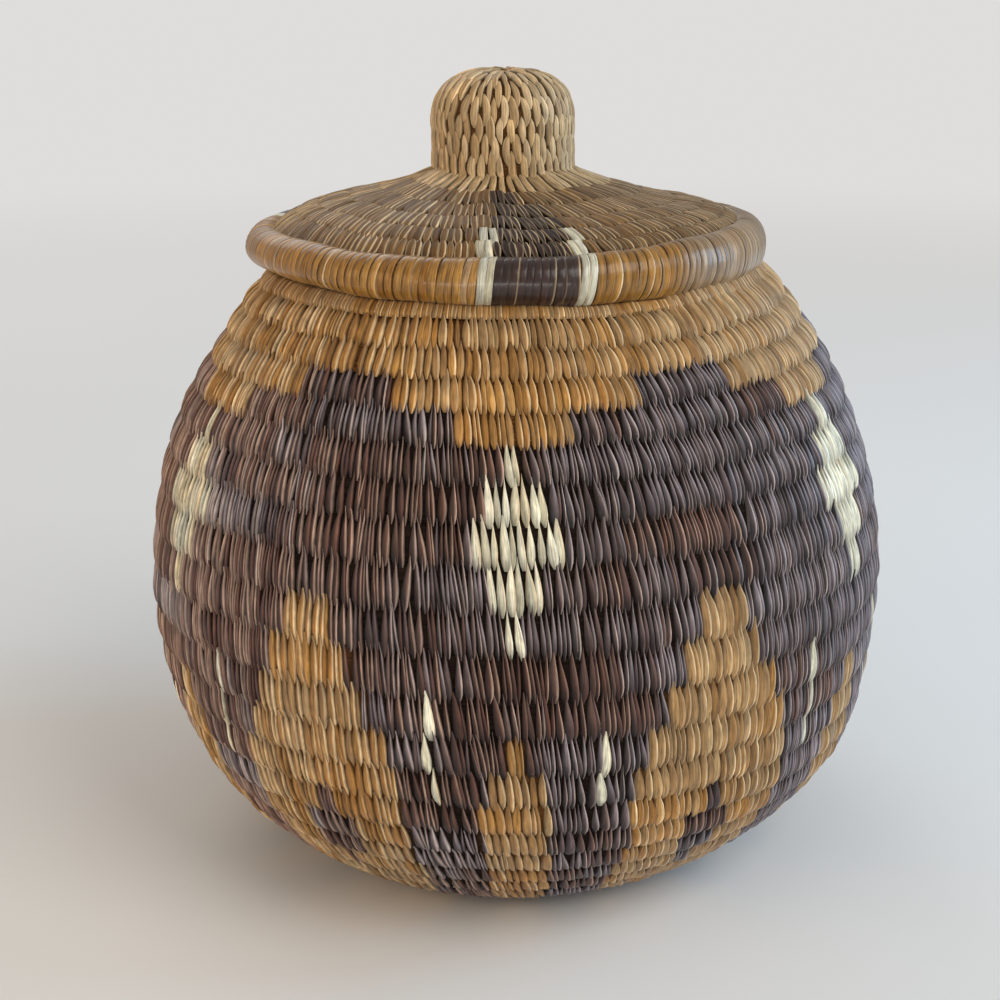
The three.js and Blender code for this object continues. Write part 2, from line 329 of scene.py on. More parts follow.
def lid_pitch(s, length):
    on_dome = mix(LID_PITCH, LID_EDGE_PITCH, smoothstep(s, NARROWING_AT, length))
    return mix(KNOB_PITCH, on_dome, smoothstep(s, KNOB_LENGTH - PITCH_BLEND, KNOB_LENGTH + PITCH_BLEND))


edge_down = slope_down(LID_EDGE_SLOPE)
top_down = slope_down(LID_TOP_SLOPE)
lid_edge = on_lid(roll_middle, 0) - roll_reach * edge_down
lid_top = on_lid(LID_TOP_RADIUS, LID_TOP_HEIGHT)
knob_middle = KNOB_RADIUS - LID_WALL / 2
crown = KNOB_HEIGHT - LID_WALL / 2
lid_coil = Coil(
    [
        curve(on_lid(0, crown), on_lid(KNOB_CROWN_RUN, crown),
              on_lid(knob_middle, KNOB_SHOULDER + KNOB_CROWN_DROP), on_lid(knob_middle, KNOB_SHOULDER)),
        curve(on_lid(knob_middle, KNOB_SHOULDER), on_lid(knob_middle, KNOB_WAIST)),
        curve(on_lid(knob_middle, KNOB_WAIST), on_lid(knob_middle, KNOB_WAIST - KNOB_FLARE_DROP),
              lid_top - KNOB_FLARE_RUN * top_down, lid_top),
        curve(lid_top, lid_top + LID_TOP_RUN * top_down, lid_edge - LID_EDGE_RUN * edge_down, lid_edge),
    ],
    LID_WALL, KNOB_ROWS + LID_ROWS, LID_KNOT, LID_SEAM, -1, lid_pitch, LID_GROOVE_SHARE, LID_SHIFT,
)


# Colours of the palm, as seen on a screen from 0 to 255
def shades(*colors):
    """Linear colours from screen colours."""
    c = np.array(colors, float) / 255
    return np.where(c <= 0.04045, c / 12.92, ((c + 0.055) / 1.055) ** 2.4)


TAN = shades((153, 115, 67), (163, 129, 85), (135, 97, 51), (174, 146, 105), (143, 113, 77))
OCHRE = shades((162, 113, 48), (146, 98, 37), (172, 127, 62))
DARK = shades((69, 50, 45), (53, 38, 35), (85, 66, 61), (41, 30, 29), (78, 64, 65))
RUSSET = shades((104, 60, 42), (84, 48, 34))
GREY_PAINTED_SHEEN = shades((152, 143, 150))[0]  # painted highlight on dark strips' crests
# the same painted highlight in brown, on the warm side
BROWN_PAINTED_SHEEN = shades((128, 101, 88))[0]
CREAM = shades((218, 216, 198), (204, 202, 182), (194, 186, 158))
PALE = shades((117, 82, 39), (101, 70, 31), (131, 98, 52), (91, 62, 27))
FAIR = shades((196, 165, 119), (180, 148, 102), (209, 184, 146), (160, 128, 86))
GOLD = shades((149, 104, 40), (132, 88, 29), (165, 122, 57))
STRAW = shades((143, 117, 88), (127, 100, 69), (159, 135, 107))
DEEP = shades((50, 32, 27), (40, 27, 24), (60, 40, 34))
# Grass of the cores, seen only in the gaps between strips: dark brown, near-black as painted shade
GRASS = shades((86, 54, 24))[0]
PAINTED_SHADE_GRASS = shades((26, 17, 12))[0]
FAIR_GRASS = shades((88, 58, 30))[0]
# Light edges of the strips: partly the palm's own, partly painted highlight where an edge catches the light
PALE_EDGE = shades((226, 200, 158))[0]
GREY_EDGE = shades((196, 178, 170))[0]
# brown on the warm side, painted light as well
BROWN_EDGE = shades((178, 150, 132))[0]


def dye(shade_set, count, rng):
    """A colour for each of so many strips: a random mixture of the shades, a little lighter or darker."""
    weights = rng.dirichlet(np.full(len(shade_set), 0.6), count)
    return weights @ shade_set * rng.uniform(0.8, 1.18, (count, 1))


# Pattern of the basket: half widths are in degrees, and rows count up the wall from the base
SECTORS = 6
BORDER_ROW = 16      # the wall is plain from here up
NOTCH = 9            # of the steps in the border's lower edge
BAND_REACH = 57      # either side of the right, where the top row is a smooth band
DIAMOND = {14: 1.3, 13: 3.9, 12: 6.5, 11: 3.9, 10: 1.3}
BAR = {10: 3.6, 9: 6.2, 8: 8.8, 7: 11.4}
BAR_FOOT = 13.2
HOLLOW = {5: 1.4, 4: 4, 3: 4, 2: 1.4}
NARROW_BAR = {7: 1.6, 6: 3.9}
NARROW_FOOT = 5.2
DASH_AT = 12         # from the middle of a sector
DASH = 0.6
DASH_ROWS = (6, 7, 8)
DARK_BASE_ROW = -2   # with plain rows inside it

# Pattern of the lid: half widths are in degrees, rows count from the foot of the knob, and the roll is row 6
STRIPES = 3
FIRST_STRIPE = -83.4
ROLL_ROW = 6
CREAM_ROW = 4        # from here out the stripe lies between cream bars
CREAM_BAR = 12.7
STRIPE = {2: 10, 3: 10.5}
STRIPE_FOOT = 8.8
STRIPE_TIP = (-12, 0)  # from the one angle to the other


def in_sector(angle, sectors, first=-90):
    """Angle from the middle of the nearest sector, in degrees."""
    width = 360 / sectors
    return (angle - first + width / 2) % width - width / 2


def basket_pattern(row, angle):
    """Stepped diamonds in a dark field with a notched edge, over upright stepped bars."""
    a = np.abs(in_sector(angle, SECTORS))
    from_border = 180 / SECTORS - a
    kind = np.full(len(a), "dark", dtype=object)
    if row >= BORDER_ROW:
        kind[:] = "tan"
        if row == WALL_ROWS - 1:
            kind[np.abs((angle + 180) % 360 - 180) < BAND_REACH] = "band"
        if row == BORDER_ROW:
            kind[from_border < NOTCH] = "dark"
        return kind
    if row == BORDER_ROW - 1:
        kind[a < NOTCH] = "tan"
    kind[a < DIAMOND.get(row, 0)] = "cream"
    kind[from_border < BAR.get(row, BAR_FOOT if row < min(BAR) else 0)] = "tan"
    kind[from_border < HOLLOW.get(row, 0)] = "dark"
    kind[a < NARROW_BAR.get(row, NARROW_FOOT if row < min(NARROW_BAR) else 0)] = "tan"
    if row in DASH_ROWS:
        kind[np.abs(a - DASH_AT) < DASH] = "cream"
    if row <= DARK_BASE_ROW:
        kind[:] = "dark" if row == DARK_BASE_ROW else "tan"
    return kind


def lid_pattern(row, angle):
    """Dark stripes between cream bars on a pale lid."""
    a = in_sector(angle, STRIPES, FIRST_STRIPE)
    kind = np.full(len(a), "fair" if row < 1 else "pale" if row < ROLL_ROW else "gold", dtype=object)
    if row >= CREAM_ROW:
        kind[np.abs(a) < CREAM_BAR] = "cream"
    if row >= min(STRIPE):
        kind[np.abs(a) < STRIPE.get(row, STRIPE_FOOT)] = "deep"
    if row == 1:
        kind[(a > STRIPE_TIP[0]) & (a < STRIPE_TIP[1])] = "deep"
    return kind


KINDS = {"tan": TAN, "band": TAN, "dark": DARK, "cream": CREAM, "pale": PALE, "fair": FAIR, "gold": GOLD,
         "deep": DEEP}
# Grass under the strips of some kinds, near-black as painted shade in the gaps of dark, deep and cream work
UNDER = {"dark": PAINTED_SHADE_GRASS, "deep": PAINTED_SHADE_GRASS, "cream": PAINTED_SHADE_GRASS, "fair": FAIR_GRASS}


# How each kind of work is sewn: the outline of a strip from its lower tip up, and its section
ALONG = np.array([0, 0.04, 0.09, 0.15, 0.23, 0.33, 0.44, 0.56, 0.68, 0.79, 0.88, 0.95, 1])
BLADE_AT = (0, 0.07, 0.15, 0.28, 0.48, 0.68, 0.86, 1)
FULL = (0.3, 0.62, 0.85, 1, 0.96, 0.7, 0.36, 0.06)
DROP = (0.3, 0.6, 0.82, 0.98, 0.86, 0.54, 0.24, 0.05)
WISP = (0.28, 0.54, 0.76, 0.9, 0.78, 0.5, 0.22, 0.04)
PLANK = (0.36, 0.62, 0.85, 1, 1, 0.84, 0.44, 0.08)
GRAIN = (0.1, 0.36, 0.56, 0.74, 0.78, 0.7, 0.5, 0.1)
CELL = (0.2, 0.6, 0.84, 1, 1, 0.96, 0.7, 0.2)
BAND = (0.8, 0.95, 1, 1, 1, 1, 0.95, 0.8)
# Painted light and shade along a strip, from its lower tip up: dark in the grooves, lit where rows bulge
SHADE_AT = (0, 0.08, 0.25, 0.5, 0.75, 0.92, 1)
CREAM_PAINTED_SHADE = (0.4, 0.62, 0.98, 1.16, 1.12, 1.04, 0.96)
TAN_PAINTED_SHADE = (0.6, 1.02, 1.14, 1.06, 0.91, 0.78, 0.68)  # painted light: lit lower ends, shaded tops
DARK_PAINTED_SHADE = (0.24, 0.4, 0.74, 1.12, 1.2, 1.12, 1.02)
EVEN_PAINTED_SHADE = (0.9, 1, 1, 1, 1, 1, 0.9)
FLAT_SHADE = (1, 1, 1, 1, 1, 1, 1)
# Painted highlight on dark strips, along them from the lower tip up
PAINTED_SHEEN_ALONG = (0, 0.05, 0.4, 0.9, 1, 1, 1)
ACROSS = np.array([-1, -0.95, -0.8, -0.42, 0, 0.42, 0.8, 0.95, 1])
# Painted shade across a strip: dark at its feet and on its left, in its neighbour's shadow; lit on the right
PAINTED_SHADE_ACROSS = np.array([0.2, 0.42, 0.58, 0.82, 0.98, 1.05, 1.1, 1.12, 0.25])
DARK_PAINTED_SHADE_ACROSS = np.array([0.1, 0.14, 0.18, 0.26, 0.5, 0.95, 1.35, 1.5, 0.1])
# and across them, on the side toward the light
PAINTED_SHEEN_ACROSS = np.array([0, 0, 0, 0.1, 0.45, 0.95, 1.05, 0.9, 0])
EDGE_SHADE = np.array([1, 0.4, 0.6, 1, 1, 1, 0.5, 0.35, 1])  # less painted shade on the pale edges, up to the tip
ARCH = np.array([-1, 0.25, 0.6, 0.92, 1, 0.92, 0.6, 0.25, -1])  # height of a section, -1 at its feet
ROOF = np.array([-1, -0.1, 0.05, 0.38, 0.7, 0.98, 1.05, 0.75, -1])
TROUGH = np.array([-1, 0.8, 1, 0.5, 0.35, 0.5, 1, 0.8, -1])
INNER_ALONG = np.linspace(0, 1, 7)
INNER_ACROSS = np.array([-1, 0, 1])
INNER_ARCH = np.array([-1, 1, -1])

UNRULY = {"dark": 1.3, "tan": 0.8}  # how far the strips of a kind stray, beside the others
SPLIT_ODDS = {"dark": 0.5, "tan": 0.16}  # how often a strip of a kind is split in two
SPLIT_OFFSET = 0.26  # how far its halves lie from its middle, as a share of the spacing
SPLIT_WIDTH = 0.62   # and how wide they are, as a share of a whole strip


def style(**changes):
    """How one kind of row is sewn: as the wall is, with some changes.

    Spacing, lean in degrees, reach past the row's edges, width as a share of the spacing, blade and painted
    shade from the lower tip up, height of the crown, how far the edges curl up and the strip tilts, pale
    edges and their odds on the two sides, sideways bow, how deep the lower and upper tips sink, section,
    spread of the width, and how far the lean wanders. Blades and painted shades by kind come before the
    plain ones.
    """
    base = dict(pitch=2.15, lean=3, below=0.28, above=0.36, share=1.2, blade=FULL, shade=CREAM_PAINTED_SHADE,
                crown=0.32, curl=0.1, tilt=0.3, edge=0.8, odds=(0.12, 0.7), bow=0.05, sink=0.6,
                tip_sink=-0.25, arch=ROOF, vary=(0.74, 1.16), wave=0.6,
                blades={"dark": WISP, "cream": DROP, "tan": PLANK, "band": BAND},
                shades={"tan": TAN_PAINTED_SHADE, "band": EVEN_PAINTED_SHADE, "dark": DARK_PAINTED_SHADE})
    return SimpleNamespace(**{**base, **changes})


WALL_STYLE = style()
SHOULDER_STYLE = style(pitch=2.05, lean=5)
RIM_STYLE = style(pitch=1.35, crown=0.09, below=0.2, above=0.2, blade=BAND, blades={}, tilt=0.04, share=1.16,
                  curl=0, wave=0.3, vary=(0.92, 1.1), tip_sink=0.8, shade=EVEN_PAINTED_SHADE, shades={})
KNOB_STYLE = style(pitch=2.55, below=0.66, above=0.66, share=1.02, blade=GRAIN, shade=EVEN_PAINTED_SHADE, crown=0.18,
                   lean=2, edge=0.7, odds=(0.75, 0.75), tilt=0.12, sink=0.5, tip_sink=0.5, arch=ARCH,
                   vary=(0.86, 1.12), bow=0.06, shades={})
LID_STYLE = style(pitch=1.95, below=0.36, above=0.36, share=1.04, blade=CELL, shade=EVEN_PAINTED_SHADE, crown=0.22,
                  lean=8, edge=0.85, odds=(0.85, 0.9), curl=0.9, tilt=0.04, tip_sink=0.6, arch=ARCH,
                  vary=(0.9, 1.1), shades={}, blades={"cream": BAND, "deep": FULL})
LID_EDGE_STYLE = style(**{**vars(LID_STYLE), "above": 1.4, "sink": 0, "tip_sink": 0})
ROLL_STYLE = style(edge=0.75, odds=(0.22, 0.1), shade=FLAT_SHADE, shades={})


def next_fractions(fractions, count, drift, rng):
    """Places round the next row: between the stitches of this row, with some added or dropped, evened out."""
    gaps = np.diff(np.append(fractions, fractions[0] + 1))
    places = fractions + gaps / 2
    change = abs(count - len(places))
    chosen = ((np.arange(change) + rng.uniform(0.2, 0.8, change)) / max(change, 1) * len(places)).astype(int)
    if count > len(places):
        places = np.append(places, fractions[chosen] + gaps[chosen] * rng.uniform(0.05, 0.2, change))
    elif count < len(places):
        places = np.delete(places, chosen)
    places = np.sort(places % 1)
    for _ in range(12):
        after = np.append(places[1:], places[0] + 1)
        before = np.append(places[-1] - 1, places[:-1])
        places = places + 0.3 * ((after + before) / 2 - places)
    return np.sort((places + drift) % 1)


def stitch_rows(coil, style_of, seed):
    """Places of the stitches of each turn of a coil, from the thinned first one, -1, as fractions of it."""
    rng = np.random.default_rng(seed)
    rows = {}
    fractions = None
    for turn in range(-1, coil.rows):
        sewing = style_of(turn)
        middle, half, _ = coil.row(max(turn, 0) + 0.5)
        radius = coil.at(middle)[0]
        count = max(8, round(TAU * radius / sewing.pitch))
        if fractions is not None and abs(count - len(fractions)) < COUNT_SLACK * count:
            count = len(fractions)
        drift = -coil.inside * math.tan(math.radians(sewing.lean)) * 2 * half / TAU / radius
        if fractions is None:
            fractions = np.arange(count) / count
        else:
            fractions = next_fractions(fractions, count, drift, rng)
        rows[turn] = fractions
    return rows


def on_strips(across, length, rng):
    """Coordinates on strips: across them, along them in millimetres, and a number for each."""
    seed = rng.uniform(0, 100, (len(length), 1, 1))
    return np.stack(np.broadcast_arrays(across, length, seed), axis=-1)


def sew(coil, turns, spacing, kinds, sewing, side, rng):
    """Points of every strip on one side of a turn, as (strip, along, across, xyz), with coordinates."""
    outer = side > 0
    along = ALONG if outer else INNER_ALONG
    across = ACROSS if outer else INNER_ACROSS
    shape = (mix(sewing.arch, TROUGH, sewing.curl) if outer else INNER_ARCH)[None, None, :]  # of the section
    count = len(turns)
    q = along[None, :, None]
    u = across[None, None, :]
    each = lambda low, high: rng.uniform(low, high, (count, 1, 1))
    below = sewing.below * each(0.7, 1.3)
    over_rim = (kinds == "band") * 2 * (1 - turns % 1)  # the band reaches over the rim as far as that is thin
    above = sewing.above * each(0.6, 1.4) + over_rim[:, None, None]
    v = -1 - below + q * (2 + below + above)
    blades = {kind: np.interp(along, BLADE_AT, sewing.blades.get(kind, sewing.blade)) for kind in KINDS}
    blade = np.array([blades[kind] for kind in kinds])[:, :, None] ** each(0.6, 1.5)
    middle, half, _ = coil.row(turns)
    radius = np.maximum(coil.at(middle)[0], 2)
    wave = sewing.wave * (3 * np.sin(turns * TAU * 4 + coil.rows) + 2 * np.sin(turns * TAU * 11))
    unruly = np.array([UNRULY.get(kind, 1) for kind in kinds])
    lean = np.radians(sewing.lean + wave + sewing.wave * unruly * rng.normal(0, 3.2, count))
    leaning = -coil.inside * np.tan(lean) * half / TAU / radius
    jitter = rng.normal(0, 0.1, count) * unruly * spacing
    wide = spacing[:, None, None] * sewing.share * each(*sewing.vary) / 2 * blade
    bow = (spacing * rng.normal(0, sewing.bow, count))[:, None, None] * (0.5 - v**2)
    turn = (turns + jitter)[:, None, None] + leaning[:, None, None] * v + bow + u * wide
    crown = sewing.crown * each(0.7, 1.25)
    tilt = sewing.tilt * rng.normal(1, 0.7, (count, 1, 1)).clip(-0.5, 2.4)
    lift = np.where(shape < 0, -SKIRT, crown * shape * blade + tilt * u * blade)
    sunk = sewing.sink * (1 - smoothstep(q, 0, 0.14)) + sewing.tip_sink * (1 - smoothstep(1 - q, 0, 0.2))
    depth = sewing.crown * 1.2 - lift + SKIRT * sunk
    v_all = np.broadcast_to(v, turn.shape)
    points = place(coil, turn, v_all, depth, side)
    strip = on_strips(u, v_all * half[:, None, None], rng)
    if not outer:
        points, strip = points[:, :, ::-1], strip[:, :, ::-1]
    return points, strip


def grid_faces(shape, closed=False):
    """Faces of a batch of grids of points. A closed grid's last column is joined to its first."""
    batch, rows, columns = shape
    i = np.arange(batch * rows * columns).reshape(batch, rows, columns)
    if closed:
        i = np.concatenate([i, i[:, :, :1]], axis=2)
    return np.stack([i[:, :-1, :-1], i[:, :-1, 1:], i[:, 1:, 1:], i[:, 1:, :-1]], axis=-1).reshape(-1, 4)


class Piece:
    """Gathers the parts of one mesh: points, faces, colours and strip coordinates."""

    def __init__(self):
        self.points, self.faces, self.colors, self.strips, self.cells = [], [], [], [], []
        self.count = 0

    def add(self, points, strip, color, flip=False, closed=False, core=False):
        """Adds a batch of grids of points. The colour is one for all, or an array that spreads over them."""
        batch, rows, columns = points.shape[:3]
        faces = grid_faces((batch, rows, columns), closed)
        if flip:
            faces = faces[:, ::-1]
        self.faces.append((faces + self.count, np.full(len(faces), int(core))))
        self.points.append(points.reshape(-1, 3))
        self.strips.append(strip.reshape(-1, 3))
        self.colors.append(np.broadcast_to(color, points.shape).reshape(-1, 3))
        self.cells.append((batch, rows, columns, core))
        self.count += batch * rows * columns

    def cap(self, ring, flip):
        """Closes an open end of the core with a fan of four-sided faces between the points of its ring."""
        sides = len(ring)
        i = np.arange(sides // 2 - 1)
        faces = np.stack([ring[i], ring[i + 1], ring[sides - 2 - i], ring[sides - 1 - i]], axis=-1)
        if flip:
            faces = faces[:, ::-1]
        self.faces.append((faces, np.ones(len(faces), int)))


CORE_BAND = 0.12    # of the bake map's height, for the grass
PATCH_HEIGHT = 4.2  # of a strip's patch in it, beside its width


def face_uvs(piece, faces):
    """A small separate patch of the bake map for each strip, and a band of it for the core."""
    uv = np.zeros((piece.count, 2))
    strips = sum(batch for batch, _, _, core in piece.cells if not core)
    columns = max(1, math.ceil(math.sqrt(strips * PATCH_HEIGHT)))
    lines = max(1, math.ceil(strips / columns))
    start = 0
    done = 0
    for batch, rows, wide, core in piece.cells:
        size = batch * rows * wide
        q, u = np.meshgrid(np.linspace(0.04, 0.96, rows), np.linspace(0.06, 0.94, wide), indexing="ij")
        if core:
            patch = np.stack([q, u * CORE_BAND], axis=-1)
            uv[start:start + size] = np.tile(patch.reshape(-1, 2), (batch, 1))
        else:
            number = done + np.arange(batch)
            x = (number % columns)[:, None, None] + u[None]
            y = (number // columns)[:, None, None] + q[None]
            patch = np.stack([x / columns, CORE_BAND + (1 - CORE_BAND) * y / lines], axis=-1)
            uv[start:start + size] = patch.reshape(-1, 2)
            done += batch
        start += size
    return uv[faces.reshape(-1)]


def make_object(piece, node):
    """Makes the mesh of a piece, which stands for a node of the part and rides on its body."""
    faces = np.concatenate([f for f, _ in piece.faces])
    which = np.concatenate([m for _, m in piece.faces])
    mesh = bpy.data.meshes.new("sewn_" + node)
    mesh.vertices.add(piece.count)
    mesh.vertices.foreach_set("co", (np.concatenate(piece.points) * METRE).astype(np.float32).ravel())
    mesh.loops.add(faces.size)
    mesh.loops.foreach_set("vertex_index", faces.astype(np.int32).ravel())
    mesh.polygons.add(len(faces))
    mesh.polygons.foreach_set("loop_start", np.arange(0, faces.size, 4, dtype=np.int32))
    mesh.polygons.foreach_set("loop_total", np.full(len(faces), 4, dtype=np.int32))
    mesh.polygons.foreach_set("material_index", which.astype(np.int32))
    mesh.polygons.foreach_set("use_smooth", np.ones(len(faces), dtype=bool))
    colors = np.concatenate(piece.colors)
    palm = mesh.attributes.new("palm_color", "FLOAT_COLOR", "POINT")
    palm.data.foreach_set("color", np.c_[colors, np.ones(len(colors))].astype(np.float32).ravel())
    strip = mesh.attributes.new("strip", "FLOAT_VECTOR", "POINT")
    strip.data.foreach_set("vector", np.concatenate(piece.strips).astype(np.float32).ravel())
    uv = mesh.uv_layers.new(name="OFBake")
    uv.data.foreach_set("uv", face_uvs(piece, faces).astype(np.float32).ravel())
    mesh.update(calc_edges=True)
    obj = bpy.data.objects.new("sewn_" + node, mesh)
    bpy.context.scene.collection.objects.link(obj)
    for material in (palms[slot_of_node[node]], grass):
        mesh.materials.append(material)
    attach(obj, body_of_node[node])
    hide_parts(node)


def add_core(piece, coil, start, end, kinds_at):
    """The bundle of grass of one turn, closed at both ends."""
    steps = max(12, round(CORE_STEPS * (end - start)))
    turn = np.linspace(start, end, steps + 1)[:, None]
    middle, half, _ = coil.row(turn)
    reach = 1 + SEAM_GAP / 2 / half
    half_section = np.linspace(-1, 1, CORE_SECTION)
    v = np.concatenate([half_section, half_section[::-1]])[None, :] * np.ones_like(turn)
    side = np.concatenate([np.ones(CORE_SECTION), -np.ones(CORE_SECTION)])[None, :]
    points = place(coil, turn, v * reach * CORE_REACH, CORE_DEPTH, side)
    arc = np.broadcast_to(turn * TAU * coil.at(middle)[0], v.shape)
    strip = np.stack([v * side * 3, arc, np.zeros_like(v)], axis=-1)
    flip = coil.inside < 0
    first = piece.count
    kinds = kinds_at(np.degrees((coil.seam + turn[:, 0]) * TAU))
    # near-black grass under dark, deep and cream strips is painted shade
    color = np.array([UNDER.get(kind, GRASS) for kind in kinds])[:, None]
    piece.add(points[None], strip[None], color, flip=flip, closed=True, core=True)
    ring = np.arange(first, first + 2 * CORE_SECTION)
    piece.cap(ring, not flip)
    piece.cap(ring + steps * len(ring), flip)


def strip_colors(along, across, kinds, patch, sewing, rng):
    """A colour for each point of each strip, by its kind. Some are redder or deeper where patch is high."""
    count = len(kinds)
    base = np.zeros((count, 3))
    for kind, shade_set in KINDS.items():
        chosen = kinds == kind
        base[chosen] = dye(shade_set, int(chosen.sum()), rng)
    dark = kinds == "dark"
    # redder, deeper and paler strips follow patch, whose lean to one side is painted light
    share = smoothstep(patch + rng.normal(0, 0.5, count), 0.1, 1.7)[:, None]
    base = np.where(dark[:, None], mix(base, dye(RUSSET, count, rng), 0.5 * share), base)
    base = np.where((kinds == "tan")[:, None], mix(base, dye(OCHRE, count, rng), 0.75 * share), base)
    straw_share = 0.8 * smoothstep(rng.normal(0, 0.3, count) - patch, -0.3, 1.5)[:, None]
    base = np.where((kinds == "gold")[:, None], mix(base, dye(STRAW, count, rng), straw_share), base)
    color = np.broadcast_to(base[:, None, None, :], (count, len(along), len(across), 3)).copy()
    if len(across) > 3:
        # pale edges, partly painted highlight: the wall's odds favour the right side, toward the light
        edge_color = np.where(dark[:, None], mix(GREY_EDGE, BROWN_EDGE, share), PALE_EDGE)[:, None, None, :]
        strength = sewing.edge * rng.uniform(0.2, 1, (count, 1, 1, 1))
        for columns, odds in (([1, 2], sewing.odds[0]), ([-2, -3], sewing.odds[1])):
            lit = strength * (rng.uniform(0, 1, (count, 1, 1, 1)) < odds)
            color[:, :, columns] = mix(color[:, :, columns], edge_color, lit)
        # painted shade across each strip, much stronger on dark ones
        color *= np.where(dark[:, None, None, None], DARK_PAINTED_SHADE_ACROSS[:, None], PAINTED_SHADE_ACROSS[:, None])
        # painted highlight: dark strips greyed toward the light, less and browner on the warm side
        sheen_painted = dark * rng.uniform(0.1, 0.75, count) * (1 - 0.6 * share[:, 0])
        sheen_painted_at = np.interp(along, SHADE_AT, PAINTED_SHEEN_ALONG)[:, None, None] * PAINTED_SHEEN_ACROSS[:, None]
        color = mix(color, mix(GREY_PAINTED_SHEEN, BROWN_PAINTED_SHEEN, share)[:, None, None, :], sheen_painted[:, None, None, None] * sheen_painted_at)
    # painted shade along each strip, by its kind, weaker on its pale edges
    by_kind = {kind: np.interp(along, SHADE_AT, sewing.shades.get(kind, sewing.shade)) for kind in KINDS}
    shade = np.array([by_kind[kind] for kind in kinds])[:, :, None, None]
    evenness = EDGE_SHADE[:, None] if len(across) > 3 else 1
    return color * shade ** (evenness * rng.uniform(0.6, 1.5, (count, 1, 1, 1)))


WARM_LIT_SIDE = 205  # painted light: the palm is redder on this side, in degrees, paler on the other
# how strongly that painted light leans the colours to one side
WARM_LIT_SIDE_WEIGHT = 1.9


def patchiness(degrees, height):
    """Slow waves over the work, in which some stretches of strips differ from the rest."""
    a = np.radians(degrees)
    waves = np.sin(3 * a + 1.7 * height) + np.sin(7 * a - 0.9 * height)
    waves = waves + 0.7 * np.sin(13 * a + 2.6 * height + 1)
    # the lean to one side is painted light
    return waves + WARM_LIT_SIDE_WEIGHT * np.cos(a - math.radians(WARM_LIT_SIDE))


def add_stitches(piece, coil, turn, fractions, sewing, kinds_at, start, end, seed):
    """Strips on the outside and the inside of one turn, between a start and an end of the turn."""
    gaps = np.diff(np.append(fractions, fractions[0] + 1))
    spacing = (gaps + np.roll(gaps, 1)) / 2
    inside_turn = (turn + fractions >= start) & (turn + fractions <= end)
    places, spacing = turn + fractions[inside_turn], spacing[inside_turn]
    rng = np.random.default_rng(seed)
    kinds = kinds_at(np.degrees((coil.seam + places) * TAU))
    split = rng.random(len(kinds)) < np.array([SPLIT_ODDS.get(kind, 0) for kind in kinds])
    offset = SPLIT_OFFSET * spacing
    places = np.concatenate([places - split * offset, (places + offset)[split]])
    spacing = np.concatenate([np.where(split, SPLIT_WIDTH, 1) * spacing, SPLIT_WIDTH * spacing[split]])
    kinds = np.concatenate([kinds, kinds[split]])
    angle = np.degrees((coil.seam + places) * TAU)
    for side in (1, -1):
        points, strip = sew(coil, places, spacing, kinds, sewing, side, rng)
        along, across = (ALONG, ACROSS) if side > 0 else (INNER_ALONG, INNER_ACROSS)
        color = strip_colors(along, across, kinds, patchiness(angle, turn), sewing, rng)
        flip = (side > 0) == (coil.inside > 0)
        piece.add(points, strip, color, flip=flip if side > 0 else not flip)


# Materials
class Tree:
    """The nodes of a material or a world. An input is linked to a socket, or set to a value."""

    def __init__(self, owner):
        owner.use_nodes = True
        self.nodes, self.links = owner.node_tree.nodes, owner.node_tree.links

    def feed(self, node, inputs):
        for name, value in inputs.items():
            if isinstance(value, bpy.types.NodeSocket):
                self.links.new(value, node.inputs[name])
            else:
                node.inputs[name].default_value = value

    def add(self, kind, inputs, **settings):
        node = self.nodes.new(kind)
        for name, value in settings.items():
            setattr(node, name, value)
        self.feed(node, inputs)
        return node.outputs

    def attribute(self, name, output):
        return self.add("ShaderNodeAttribute", {}, attribute_name=name)[output]

    def noise(self, vector, scale, detail):
        return self.add("ShaderNodeTexNoise", {"Vector": vector, "Scale": scale, "Detail": detail})["Fac"]

    def spread(self, value, low, high, from_low=0.3, from_high=0.7, **settings):
        """A value from one range spread over another."""
        ends = {"From Min": from_low, "From Max": from_high, "To Min": low, "To Max": high}
        return self.add("ShaderNodeMapRange", {"Value": value, **ends}, **settings)["Result"]

    def scaled(self, vector, factors):
        return self.add("ShaderNodeVectorMath", {0: vector, 1: factors}, operation="MULTIPLY")["Vector"]

    def brightened(self, color, factor):
        return self.add("ShaderNodeVectorMath", {0: color, "Scale": factor}, operation="SCALE")["Vector"]

    def relief(self, height, strength, distance):
        inputs = {"Strength": strength, "Distance": distance, "Height": height}
        return self.add("ShaderNodeBump", inputs)["Normal"]


def new_material(name):
    material = bpy.data.materials.new(name)
    tree = Tree(material)
    return material, tree, tree.nodes["Principled BSDF"]


def palm_material(name, smooth, rough, sheen, tint, coat=0.0, relief=0.35):
    """Palm strips: dye, painted light and shade, fibres along each, blotches over many, and a dull shine."""
    material, tree, shader = new_material(name)
    strip = tree.attribute("strip", "Vector")
    fibres = tree.noise(tree.scaled(strip, (3.2, 0.16, 1)), 1.0, 3)
    streaks = tree.noise(tree.scaled(strip, (0.9, 0.35, 1.7)), 1.0, 2)
    blotches = tree.noise(tree.add("ShaderNodeTexCoord", {})["Object"], 42, 3)
    shade = tree.brightened(tree.attribute("palm_color", "Color"), tree.spread(fibres, 0.55, 1.4))
    shade = tree.brightened(shade, tree.spread(streaks, 0.82, 1.14))
    shade = tree.brightened(shade, tree.spread(blotches, 0.86, 1.1))
    tree.feed(shader, {
        "Base Color": shade, "Roughness": tree.spread(streaks, smooth, rough),
        "Normal": tree.relief(fibres, relief, 0.00025), "Specular IOR Level": 0.28,
        "Sheen Weight": sheen, "Sheen Roughness": 0.45, "Sheen Tint": (*tint, 1),
        "Coat Weight": coat, "Coat Roughness": 0.2,
    })
    return material


